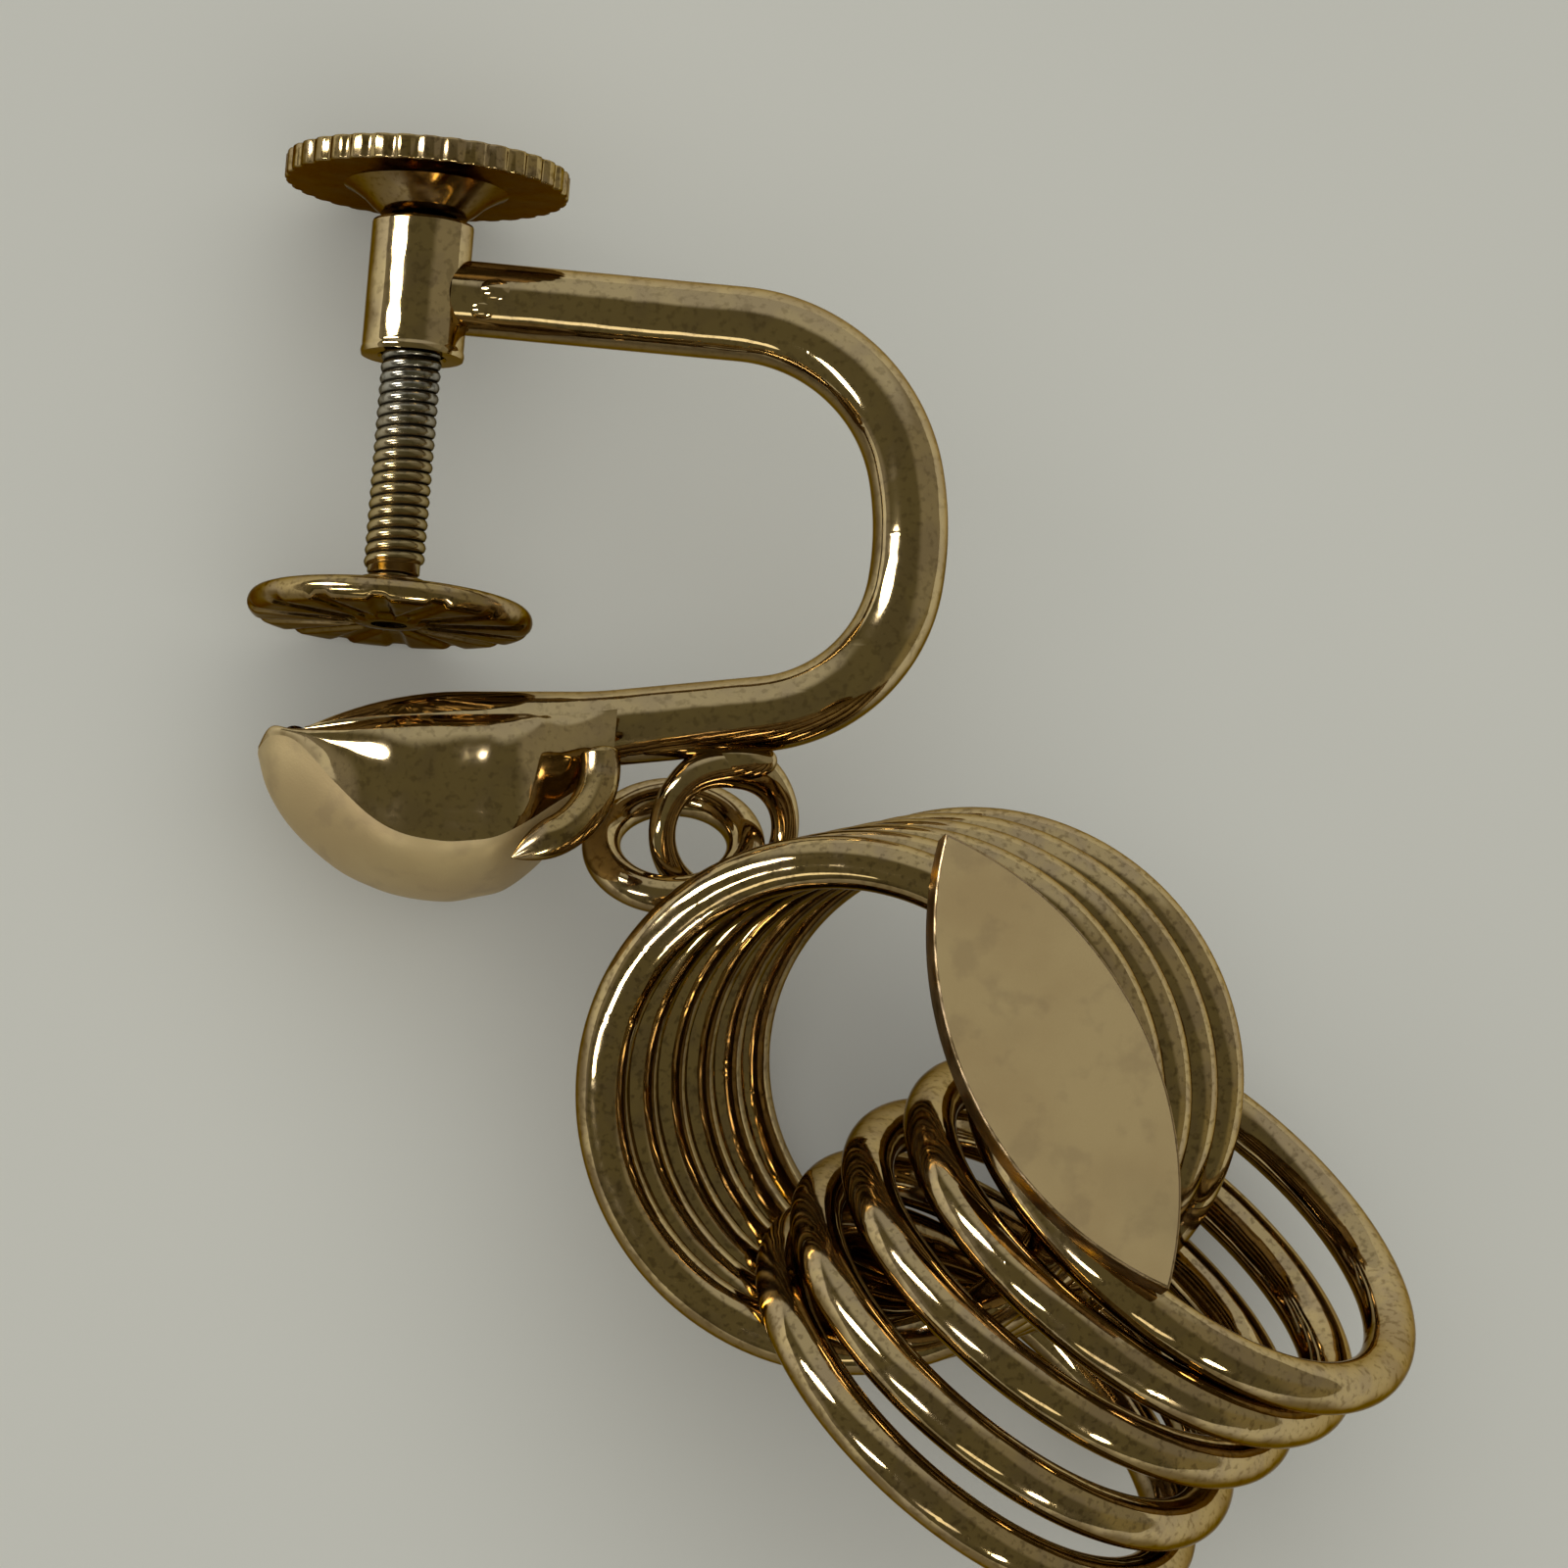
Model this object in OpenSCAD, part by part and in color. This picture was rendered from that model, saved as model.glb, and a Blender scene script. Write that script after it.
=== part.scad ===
// Screw-back dangle earring, lying on its two discs and the lowest ring of its pendant.
// Millimetres. +Z is up from the surface, +Y runs along the screw toward the thumb disc.

/* [Ear wire] */
// Diameter of the bent ear wire
ear_wire_d = 1.36; // [1.2:0.02:1.4]
// Outer diameter of the threaded barrel
barrel_d = 1.85; // [1.75:0.05:2]
// Length of the barrel
barrel_length = 2.48; // [2.3:0.02:2.6]
// Straight length of the upper arm, from the screw's axis
arm_length = 5.9; // [5.7:0.05:6.1]
// Wire diameter of the small ring soldered under the lower arm
frame_ring_wire_d = 0.48; // [0.4:0.02:0.5]

/* [Clamp screw] */
// Crest diameter of the screw thread
screw_d = 1.1; // [1:0.02:1.12]
// Pitch of the thread
thread_pitch = 0.21; // [0.2:0.01:0.3]
// Depth of the thread grooves
thread_depth = 0.07; // [0.05:0.01:0.1]
// Radial running clearance of the screw in the barrel and of its pin in the pad
running_gap = 0.03; // [0.02:0.01:0.05]

/* [Discs] */
// Diameter of the thumb disc
thumb_d = 5.15; // [4.8:0.05:5.2]
// Thickness of the thumb disc at its rim
thumb_rim = 0.45; // [0.35:0.05:0.5]
// Number of notches round the thumb disc
thumb_notches = 36; // [24:2:40]
// Diameter of the ear pad
pad_d = 5.15; // [4.8:0.05:5.2]
// Thickness of the ear pad
pad_rim = 0.46; // [0.4:0.02:0.5]
// Number of grip grooves in the face of the ear pad
pad_grooves = 14; // [10:1:16]

/* [Front leaf] */
// Width of the leaf, seen on its face
leaf_width = 4.04; // [3.8:0.02:4.1]
// Wall of the hollow leaf
leaf_wall = 0.32; // [0.28:0.02:0.34]
// Wire diameter of the stem that curls over the leaf's root
stem_d = 0.72; // [0.6:0.02:0.72]

/* [Pendant] */
// Wire diameter of the pendant's rings
ring_wire_d = 0.86; // [0.7:0.02:0.86]
// Mean radius of the pendant's rings
ring_radius = 4.36; // [4.34:0.01:4.38]
// Length of the flat leaf plate
plate_length = 8.8; // [8.4:0.1:8.9]
// Width of the leaf plate
plate_width = 3.32; // [3:0.02:3.4]
// Thickness of the leaf plate
plate_thickness = 0.75; // [0.6:0.05:0.75]
// Wire diameter of the ring that joins the pendant to the ear wire
pendant_ring_wire_d = 0.7; // [0.6:0.02:0.7]

/* [Hidden] */
$fn = 96;

gold = [0.72, 0.58, 0.33];
satin = [0.86, 0.77, 0.58];
steel = [0.62, 0.6, 0.56];

// The whole earring is moved so that its box is centred over the origin.
box_shift = [-0.375, 2.3, 0];

// The clamp lies on the edges of both discs, its bend raised by this angle.
bend_raise = 12.1;
thumb_centre = [-7.99, 10.04, thumb_d / 2];

// Clamp positions along the screw axis, measured from the thumb disc's middle.
barrel_top = -0.85;
barrel_low = barrel_top - barrel_length;
hub_low = -0.72;
hub_top_r = 1.45;
hub_low_r = 0.82;
screw_low = -7.33;
pin_d = 0.6;
pin_low = -7.92;
collar_top = -7.4;
pad_top = -7.78;
pad_low = pad_top - pad_rim;
slip = 0.04;
groove_fraction = 0.5;

// Ear wire as straight runs [length, 0] and bends [radius, turn] that follow each other.
arm_start = [0, -2.147];
arm_heading = -1.4;
wire_path = [[arm_length, 0], [3.34, -75], [5.96, -19.5], [2.84, -74.5], [2.6, 0], [8, -5.6]];
// The wire ends in a tongue behind the leaf: its straight length, taper length and steps.
tongue_straight = 2;
tongue_taper = 2.9;
taper_steps = 8;

// Every other run is thinner by this much and reaches this far into its neighbours.
run_step = 0.008;
run_overlap = 0.02;
leaf_scale = leaf_width / 2 / 2.02;

frame_ring_at = [6.27, -11.42, -0.63];
frame_ring_r = 1.19;
frame_ring_tilt = 31.6;
frame_ring_turn = -34;
frame_bead_at = [6.36, -10.16, -0.2];
frame_bead_r = 0.42;

// Leaf sections from tip to root: [x, back y, edge y, front y, half height, back width ratio].
leaf_rows = [[-2.14, -10.55, -10.72, -10.92, 0.2, 0.8], [-1.9, -10.3, -10.5, -11.42, 0.62, 0.8],
             [-1.4, -10.36, -10.6, -12.08, 1.06, 0.8], [-0.6, -10.28, -11.35, -12.7, 1.55, 0.78],
             [0.4, -10.12, -12.12, -13.08, 1.9, 0.78], [1.4, -10.02, -12.33, -13.14, 2.02, 0.78],
             [2.4, -9.96, -12.2, -12.84, 1.88, 0.8], [3.4, -9.86, -11.42, -11.82, 1.34, 0.9],
             [4.3, -9.64, -10.7, -10.9, 1.04, 1]];
leaf_row_steps = 3;
leaf_front_steps = 5;
leaf_edge_ratio = 0.9;
leaf_inner_tip_x = -1.72;

// Stem: centre and radius of its curl, start angle, sweep, end taper, height and slant.
stem_at = [2.6, -10.88];
stem_r = 1.52;
stem_from = 12;
stem_sweep = 88;
stem_taper = 1.1;
stem_start_height = 1.52;
stem_slant = 14;

// Coil A: its first ring, the step from ring to ring, and how all of them tilt and turn.
coil_a_first = [0.31, -6.51, 6.26];
coil_a_step = [0.608, 0.261, -0.69];
coil_a_tilt = 28.7;
coil_a_turn = 222.5;
// Coil B fans out, so each ring has its own place: [x, y, z, tilt, turn].
coil_b_rings = [[3.55, -11.22, 3.99, 54.7, 56], [4.07, -10.25, 4.26, 56.3, 57.4],
                [4.95, -9.19, 4.6, 56.4, 60], [5.92, -8.38, 4.92, 56.3, 59.2],
                [6.92, -7.61, 5.2, 53.4, 58.8]];

pendant_ring_at = [-2.55, -1.7, 2.86];
pendant_ring_r = 1.3;
pendant_ring_tilt = 40.1;
pendant_ring_turn = 104.8;

// Leaf plate: middle of its upper face, direction of its long axis, rise and roll.
plate_at = [3.42, -5.77, 9.69];
plate_heading = -59.6;
plate_rise = 2.7;
plate_roll = -1.5;

// Start [x, y, heading] of run i of the ear wire.
function run_start(i) = i == 0 ? [arm_start[0], arm_start[1], arm_heading]
    : let (p = run_start(i - 1), size = wire_path[i - 1][0], turn = wire_path[i - 1][1], h = p[2])
        turn == 0 ? [p[0] + size * cos(h), p[1] + size * sin(h), h]
        : [p[0] + size * (sin(h) - sin(h + turn)), p[1] + size * (cos(h + turn) - cos(h)), h + turn];

// Moves a child from the clamp's own frame, y along the screw axis, to its place.
module clamp_frame() {
    translate(box_shift + thumb_centre) rotate([0, -bend_raise, 0]) children();
}

// Turns a child's z axis to the clamp's screw axis, pointing to the thumb disc.
module on_screw_axis() {
    clamp_frame() rotate([-90, 0, 0]) children();
}

module torus(radius, wire_d) {
    rotate_extrude() translate([radius, 0]) circle(d = wire_d);
}

module set_ring(at, tilt, turn, radius, wire_d) {
    translate(at) rotate([0, tilt, turn]) torus(radius, wire_d);
}

// A round end that narrows along its axis, following a parabola from its base to a blunt tip.
module horn(straight, taper, base_r) {
    rotate_extrude() polygon(concat([[0, 0], [base_r, 0]],
        [for (i = [straight > 0 ? 0 : 1 : taper_steps - 1])
            let (t = i / taper_steps) [base_r * (1 - t * t), straight + taper * t]],
        [[0, straight + taper * (taper_steps - 0.4) / taper_steps]]));
}

module wire_run(i) {
    at = run_start(i);
    size = wire_path[i][0];
    turn = wire_path[i][1];
    thin = i % 2 == 1;
    wire_d = thin ? ear_wire_d - run_step : ear_wire_d;
    past = thin ? run_overlap / size * 180 / PI : 0;
    if (turn == 0)
        translate([at[0], at[1], 0]) rotate([0, 0, at[2]]) rotate([0, 90, 0])
            cylinder(h = size, d = wire_d);
    else
        translate([at[0] + size * sin(at[2]), at[1] - size * cos(at[2]), 0])
            rotate([0, 0, at[2] + turn + 90 - past])
                rotate_extrude(angle = 2 * past - turn) translate([size, 0]) circle(d = wire_d);
}

module ear_wire() {
    tongue_start = run_start(len(wire_path));
    color(gold) clamp_frame() difference() {
        union() {
            for (i = [0 : len(wire_path) - 1]) wire_run(i);
            translate([tongue_start[0], tongue_start[1], 0]) rotate([0, 0, tongue_start[2]])
                rotate([0, 90, 0]) horn(tongue_straight, tongue_taper, ear_wire_d / 2);
            set_ring(frame_ring_at, frame_ring_tilt, frame_ring_turn, frame_ring_r,
                     frame_ring_wire_d);
            translate(frame_bead_at) rotate([90, 0, 0]) sphere(r = frame_bead_r);
            translate([0, barrel_low, 0]) rotate([-90, 0, 0])
                cylinder(h = barrel_length, d = barrel_d);
        }
        translate([0, barrel_low - 1, 0]) rotate([-90, 0, 0])
            cylinder(h = barrel_length + 2, d = screw_d + 2 * running_gap);
    }
}

// Smooth value of one column between four neighbouring rows.
function smooth_value(a, b, c, d, t) =
    b + t * (c - a + t * (2 * a - 5 * b + 4 * c - d + t * (3 * (b - c) + d - a))) / 2;
function leaf_row(i) = leaf_rows[max(0, min(len(leaf_rows) - 1, i))];
function leaf_at(p) = let (i = min(floor(p), len(leaf_rows) - 2), t = p - i)
    [for (k = [0 : 5]) smooth_value(leaf_row(i - 1)[k], leaf_row(i)[k], leaf_row(i + 1)[k],
                                    leaf_row(i + 2)[k], t)];
// Row position of a given x, for the inner skin.
function leaf_position(x, i = 0) = i >= len(leaf_rows) - 2 || x < leaf_rows[i + 1][0]
    ? i + (x - leaf_rows[i][0]) / (leaf_rows[i + 1][0] - leaf_rows[i][0])
    : leaf_position(x, i + 1);

// One section round the open back as points [x, y, z], set in by the wall for the inner skin.
function leaf_section(row, wall) =
    let (back = row[1], edge = row[2], front = row[3], h = row[4] * leaf_scale - wall,
         rim = row[4] * leaf_scale * row[5] - wall,
         side = [[back, rim], [back + (edge - back) * 0.3, (rim + 2 * h) / 3],
                 [back + (edge - back) * 0.65, h], [edge + wall, h * leaf_edge_ratio]],
         arc = [for (i = [1 : 2 * leaf_front_steps - 1]) let (a = 90 * (i / leaf_front_steps - 1))
                [edge + wall + (front - edge) * cos(a), h * leaf_edge_ratio * sin(a)]])
    concat([for (q = side) [row[0], q[0], -q[1]]], [for (q = arc) [row[0], q[0], q[1]]],
           [for (i = [len(side) - 1 : -1 : 0]) [row[0], side[i][0], side[i][1]]]);

module front_leaf() {
    m = (len(leaf_rows) - 1) * leaf_row_steps;
    tip_x = leaf_rows[0][0];
    root_x = leaf_rows[len(leaf_rows) - 1][0];
    outer = [for (i = [0 : m]) leaf_section(leaf_at(i / leaf_row_steps), 0)];
    inner = [for (i = [0 : m]) let (x = leaf_at(i / leaf_row_steps)[0],
        x_in = root_x - (root_x - x) * (root_x - leaf_inner_tip_x) / (root_x - tip_x))
        leaf_section(leaf_at(leaf_position(x_in)), leaf_wall)];
    n = len(outer[0]);
    base = n * (m + 1);
    points = concat([for (ring = outer) each ring], [for (ring = inner) each ring]);
    faces = concat(
        [for (i = [0 : m - 1]) for (j = [0 : n - 2])
            [i * n + j, i * n + j + 1, (i + 1) * n + j + 1, (i + 1) * n + j]],
        [for (i = [0 : m - 1]) for (j = [0 : n - 2])
            [base + i * n + j, base + (i + 1) * n + j, base + (i + 1) * n + j + 1,
             base + i * n + j + 1]],
        [for (i = [0 : m - 1]) [i * n, (i + 1) * n, base + (i + 1) * n, base + i * n]],
        [for (i = [0 : m - 1]) [i * n + n - 1, base + i * n + n - 1, base + (i + 1) * n + n - 1,
            (i + 1) * n + n - 1]],
        [[for (j = [n - 1 : -1 : 0]) j], [for (j = [0 : n - 1]) base + j]],
        [[0, base, base + n - 1, n - 1]],
        [for (j = [0 : n - 2]) [m * n + j, m * n + j + 1, base + m * n + j + 1, base + m * n + j]]);
    color(satin) clamp_frame() polyhedron(points = points, faces = faces, convexity = 6);
}

// The stem starts beside the lower arm and curls over the leaf's front edge to a tapered end.
module leaf_stem() {
    start = [stem_r * cos(stem_from), stem_r * sin(stem_from), 0];
    past = run_overlap / stem_r * 180 / PI;
    color(gold) clamp_frame() translate([stem_at[0], stem_at[1], stem_start_height])
        translate(start) rotate([0, 0, 45]) rotate([0, stem_slant, 0]) rotate([0, 0, -45])
            translate(-start) {
                rotate([0, 0, stem_from - stem_sweep - past])
                    rotate_extrude(angle = stem_sweep + 2 * past)
                        translate([stem_r, 0]) circle(d = stem_d - run_step);
                rotate([0, 0, stem_from - stem_sweep]) translate([stem_r, 0, 0])
                    rotate([90, 0, 0]) horn(0, stem_taper, stem_d / 2);
            }
}

module clamp_screw() {
    root_d = screw_d - 2 * thread_depth;
    threads = floor((hub_low - 0.1 - screw_low) / thread_pitch);
    color(steel) on_screw_axis() {
        translate([0, 0, pin_low]) cylinder(h = screw_low - pin_low, d = pin_d);
        rotate_extrude() polygon(concat(
            [[0, screw_low], [screw_d / 2 - thread_depth, screw_low]],
            [for (i = [0 : threads - 1]) let (z = screw_low + i * thread_pitch)
                each [[screw_d / 2, z + groove_fraction * thread_pitch / 2],
                      [screw_d / 2, z + groove_fraction * thread_pitch],
                      [root_d / 2, z + (1 + groove_fraction) * thread_pitch / 2],
                      [root_d / 2, z + thread_pitch]]],
            [[root_d / 2, -slip], [0, -slip]]));
    }
}

module thumb_disc() {
    notch_r = 0.13;
    socket_d = screw_d + 2 * slip;
    color(gold) on_screw_axis() difference() {
        union() {
            translate([0, 0, -thumb_rim / 2]) cylinder(h = thumb_rim, d = thumb_d);
            translate([0, 0, hub_low])
                cylinder(h = -thumb_rim / 2 - hub_low, r1 = hub_low_r, r2 = hub_top_r);
        }
        for (i = [0 : thumb_notches - 1]) rotate([0, 0, 360 * i / thumb_notches])
            translate([thumb_d / 2 + notch_r * 0.55, 0, -thumb_rim])
                cylinder(h = 2 * thumb_rim, r = notch_r, $fn = 24);
        translate([0, 0, hub_low - 1]) cylinder(h = 1 - hub_low, d = socket_d);
    }
}

module ear_pad() {
    groove_w = 0.24;
    groove_depth = 0.09;
    groove_in = 0.7;
    socket_d = pin_d + 2 * running_gap;
    color(gold) on_screw_axis() difference() {
        union() {
            rotate_extrude() {
                translate([0, pad_low]) square([pad_d / 2 - pad_rim / 2, pad_rim]);
                translate([pad_d / 2 - pad_rim / 2, pad_low + pad_rim / 2]) circle(d = pad_rim);
            }
            translate([0, 0, pad_top]) cylinder(h = collar_top - pad_top, r1 = 0.78, r2 = 0.58);
        }
        translate([0, 0, pin_low - slip]) cylinder(h = 1, d = socket_d);
        for (i = [0 : pad_grooves - 1]) rotate([0, 0, 360 * (i + 0.5) / pad_grooves])
            translate([groove_in, -groove_w / 2, pad_low - 1])
                cube([pad_d / 2, groove_w, 1 + groove_depth]);
    }
}

module pendant_ring() {
    color(gold) translate(box_shift)
        set_ring(pendant_ring_at, pendant_ring_tilt, pendant_ring_turn, pendant_ring_r,
                 pendant_ring_wire_d);
}

module coil_a(i) {
    color(gold) translate(box_shift)
        set_ring(coil_a_first + (i - 1) * coil_a_step, coil_a_tilt, coil_a_turn, ring_radius,
                 ring_wire_d);
}

module coil_b(i) {
    b = coil_b_rings[i - 1];
    color(gold) translate(box_shift)
        set_ring([b[0], b[1], b[2]], b[3], b[4], ring_radius, ring_wire_d);
}

module leaf_plate() {
    half = plate_width / 2;
    arc_r = (plate_length * plate_length / 4 + half * half) / (2 * half);
    color(satin) translate(box_shift + plate_at)
        rotate([0, 0, plate_heading]) rotate([0, -plate_rise, 0]) rotate([plate_roll, 0, 0])
            translate([0, 0, -plate_thickness]) intersection() {
                translate([0, arc_r - half, 0]) cylinder(h = plate_thickness, r = arc_r);
                translate([0, half - arc_r, 0]) cylinder(h = plate_thickness, r = arc_r);
            }
}

ear_wire();
front_leaf();
leaf_stem();
clamp_screw();
thumb_disc();
ear_pad();
pendant_ring();
coil_a(1);  // coil_a_1
coil_a(2);  // coil_a_2
coil_a(3);  // coil_a_3
coil_a(4);  // coil_a_4
coil_a(5);  // coil_a_5
coil_a(6);  // coil_a_6
coil_b(1);  // coil_b_1
coil_b(2);  // coil_b_2
coil_b(3);  // coil_b_3
coil_b(4);  // coil_b_4
coil_b(5);  // coil_b_5
leaf_plate();
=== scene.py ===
"""Dresses the screw-back dangle earring: wires, discs, leaf, plate, their metals, the studio."""

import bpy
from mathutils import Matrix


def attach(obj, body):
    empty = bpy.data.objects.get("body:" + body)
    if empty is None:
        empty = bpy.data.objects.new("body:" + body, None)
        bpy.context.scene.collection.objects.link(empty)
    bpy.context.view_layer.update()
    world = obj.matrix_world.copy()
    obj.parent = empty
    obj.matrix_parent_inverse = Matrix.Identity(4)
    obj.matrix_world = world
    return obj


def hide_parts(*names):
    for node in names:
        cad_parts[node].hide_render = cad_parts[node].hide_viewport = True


bl_info = {
    "name": "Dangle earring",
    "version": (1, 0, 0),
    "blender": (4, 5, 0),
    "location": "View3D > Sidebar > Earring",
    "description": "Builds the pieces, metal finishes and studio of a screw-back dangle earring",
    "category": "Object",
}

import math

import bmesh
import bpy
from mathutils import Matrix, Vector

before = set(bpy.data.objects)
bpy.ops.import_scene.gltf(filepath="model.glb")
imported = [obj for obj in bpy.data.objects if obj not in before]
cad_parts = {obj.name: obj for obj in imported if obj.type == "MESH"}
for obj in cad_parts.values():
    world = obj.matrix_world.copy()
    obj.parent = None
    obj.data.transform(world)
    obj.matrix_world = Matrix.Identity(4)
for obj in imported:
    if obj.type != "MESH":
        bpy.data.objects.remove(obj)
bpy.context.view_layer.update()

MM = 0.001


# Places


def turn(degrees, axis):
    return Matrix.Rotation(math.radians(degrees), 4, axis)


def at(x, y, z=0.0):
    """A move in millimetres: every mesh is shaped in millimetres and scaled when it is finished."""
    return Matrix.Translation((x, y, z))


TO_METRES = Matrix.Scale(MM, 4)
PENDANT = at(-0.375, 2.3)
CLAMP = PENDANT @ at(-7.99, 10.04, 2.575) @ turn(-12.1, "Y")
SCREW_AXIS = CLAMP @ turn(-90, "X")

# Heights along the screw axis, from the middle of the thumb disc, and radii of what turns there.
BARREL_TOP = -0.85
HUB_LOW = -0.72
SCREW_LOW = -7.33
PIN_LOW = -7.92
COLLAR_TOP = -7.4
PAD_TOP = -7.78
BORE_R = 0.58
PIN_R = 0.3
SOCKET_R = 0.33

# The clamp wire's centre line in the clamp's plane: [length, 0] is straight, [radius, turn] bends.
ARM_START = (0.66, -2.163)
ARM_HEADING = -1.4
BENDS = ((3.34, -75), (5.96, -19.5), (2.84, -74.5), (2.6, 0), (8, -5.6))
TONGUE_STRAIGHT = 2.0
TONGUE_TAPER = 2.9
STRAIGHT_STEP, BEND_STEP = 0.25, 2
# Blunt ends: how fast they narrow, and the reach and the size of the last rim.
TAPER_POWER, TIP_REACH, TIP_SIZE = 1.6, 0.985, 0.06
# Points nearer than this are one, and faces with more corners than this are flat ends.
SAME_POINT, MOST_CORNERS = 0.0005, 4

# The leaf from tip to root: [along, back edge, fold, front, half height, back width ratio].
LEAF_ROWS = (
    (-2.14, -10.62, -10.68, -10.78, 0.08, 0.8),
    (-1.9, -10.3, -10.5, -11.42, 0.54, 0.8),
    (-1.4, -10.36, -10.6, -12.08, 0.92, 0.8),
    (-0.6, -10.28, -11.35, -12.7, 1.42, 0.78),
    (0.1, -10.16, -11.95, -12.99, 1.74, 0.78),
    (0.7, -10.08, -12.24, -13.12, 1.86, 0.78),
    (1.4, -10.02, -12.33, -13.14, 1.87, 0.78),
    (1.9, -9.99, -12.3, -13.02, 1.95, 0.79),
    (2.4, -9.96, -12.2, -12.84, 2.02, 0.8),
    (2.9, -9.92, -11.88, -12.41, 1.86, 0.85),
    (3.4, -9.86, -11.42, -11.82, 1.45, 0.9),
    (4.3, -9.64, -10.7, -10.9, 1.04, 1.0),
)
LEAF_FULL_HALF = 2.02
FOLD_RATIO = 0.9
FOLD_BEVEL = 0.035
# Steps of the leaf's sheet: in each part of a side, on half the front, and from row to row.
SIDE_STEPS, FRONT_STEPS, ROW_STEPS = 6, 10, 7

# The ring under the lower arm: its size and place, and where and how far its solder thickens it.
HANGING_RADIUS = 1.19
HANGING_PLACE = ((6.27, -11.42, -0.63), 31.6, -34)
HANGING_TOP = (6.36, -10.1, -0.3)
HANGING_SWELL, SWELL_DEGREES = 0.75, 48
# Beads of solder: place, radius, turn and stretch of the one at the ring, then place and radius
# of the two beside the barrel.
RING_BEAD = ((6.32, -10.22, -0.24), 0.44, 4, (1.9, 0.95, 1.0, 1.0))
SOLDER_BEADS = ((1.45, -2.12, 0.5, 0.25), (1.25, -2.42, 0.42, 0.24))
BEAD_STRETCH = 1.5

# The stem's centre, the lean of its plane, its curl's radius, and its first angle and sweep.
STEM_CENTRE = (2.6, -10.88, 1.52)
STEM_LEAN, STEM_LEAN_AXIS = 14, 45
STEM_CURL, STEM_BEGIN, STEM_SWEEP = 1.52, 12.0, 68.0
STEM_POINT, STEM_ROOT = 0.95, 0.16

# Thumb disc: radius of the cutter of its notches, how far out its centre is, and the rim's bevel.
NOTCH_CUTTER, NOTCH_SET_OUT, DISC_BEVEL = 0.13, 0.0715, 0.045
# Grooves of the ear pad: depth, half width and where they begin.
GROOVE_DEPTH, GROOVE_HALF, GROOVE_INNER = 0.07, 0.16, 0.75
# Thread: steps in a turn, and the turn that puts its end out of the camera's sight.
THREAD_STEPS, THREAD_TURN = 48, 100

# Coil B's rings one by one: centre, tilt and turn.
COIL_B = (
    (3.55, -11.22, 3.99, 54.7, 56),
    (4.07, -10.25, 4.26, 56.3, 57.4),
    (4.95, -9.19, 4.6, 56.4, 60),
    (5.92, -8.38, 4.92, 56.3, 59.2),
    (6.92, -7.61, 5.2, 53.4, 58.8),
)
# Coil A's rings: the first one's centre, the step to the next, and their common tilt and turn.
COIL_A_COUNT = 6
COIL_A_FIRST = Vector((0.31, -6.51, 6.26))
COIL_A_STEP = Vector((0.608, 0.261, -0.69))
COIL_A_SET = (28.7, 222.5)
LINK_PLACE = ((-2.55, -1.7, 2.86), 40.1, 104.8)
PLATE_PLACE = PENDANT @ at(3.42, -5.77, 9.69) @ turn(-59.6, "Z") @ turn(-2.7, "Y") @ turn(-1.5, "X")
PLATE_BEVEL, PLATE_ARC_STEPS = 0.05, 72

# The camera, and the picture's own directions in the earring's frame.
CAMERA_AT = Vector((-28.17, -24.63, 169.71))
CAMERA_AIM = Vector((-1.187, 1.757, 3.957))
PICTURE_UP = Vector((-0.1037, 0.9845, 0.1399))
LENS = 218.0

# Bumps of the finishes, in metres.
SCRATCH_DEPTH, DENT_DEPTH, GRAIN_DEPTH = 0.000004, 0.000022, 0.000012
# The side kept free of painted shade: toward the camera, and this much right and up.
UNSHADED_RIGHT, UNSHADED_UP = 0.25, 0.45
# Where the screw turns from steel to brass, in metres along its axis.
STEEL_FROM, BRASS_FROM = 0.0085, 0.0066

# The room's own tone, and its paler sides: around and out from the camera's direction, where
# each fades in, and its tone.
ROOM_TONE = (0.095, 0.085, 0.048)
ROOM_SIDES = (
    (345, 108, 0.66, 0.86, (0.19, 0.165, 0.09)),
    (180, 98, 0.8, 0.92, (0.19, 0.175, 0.14)),
    (28, 76, 0.7, 0.86, (0.2, 0.185, 0.14)),
    (84, 80, 0.66, 0.84, (0.36, 0.36, 0.33)),
)

# The lamps that the metal mirrors: around and out from the camera's direction, size, roll, the
# setting that gives the brightness and the share of it, and the colour.
WHITE, CREAM = (1.0, 0.98, 0.92), (1.0, 0.94, 0.78)
LAMPS = (
    ("left_lamp", 148, 57, (0.18, 0.07), 0, "key", 1.0, WHITE),
    ("side_lamp", 200, 41, (0.12, 0.045), 0, "key", 0.8, WHITE),
    ("near_lamp", 282, 62, (0.035, 0.075), -32, "low", 1.0, CREAM),
    ("near_screen", 252, 52, (0.13, 0.05), 0, "low", 0.06, CREAM),
)
LAMP_DISTANCE = 0.3
SOFTBOX_HEIGHT, SOFTBOX_SIZE, SOFTBOX_TINT = 0.6, 1.6, (1.0, 1.0, 0.99)
FLOOR_HALF, FLOOR_ROUGHNESS, FLOOR_GLOW = 0.6, 0.85, 0.17


def picture_axes():
    """Right, up and toward the camera, in the earring's frame."""
    toward = (CAMERA_AT - CAMERA_AIM).normalized()
    right = PICTURE_UP.cross(toward).normalized()
    return right, toward.cross(right), toward


# Settings


def length(name, description, millimetres):
    return bpy.props.FloatProperty(
        name=name,
        description=description,
        default=millimetres * MM,
        min=0.0,
        precision=5,
        subtype="DISTANCE",
        unit="LENGTH",
    )


def colour(name, description, value):
    return bpy.props.FloatVectorProperty(
        name=name, description=description, default=value, min=0.0, max=1.0, subtype="COLOR"
    )


def level(name, description, value):
    return bpy.props.FloatProperty(name=name, description=description, default=value, min=0.0)


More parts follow.
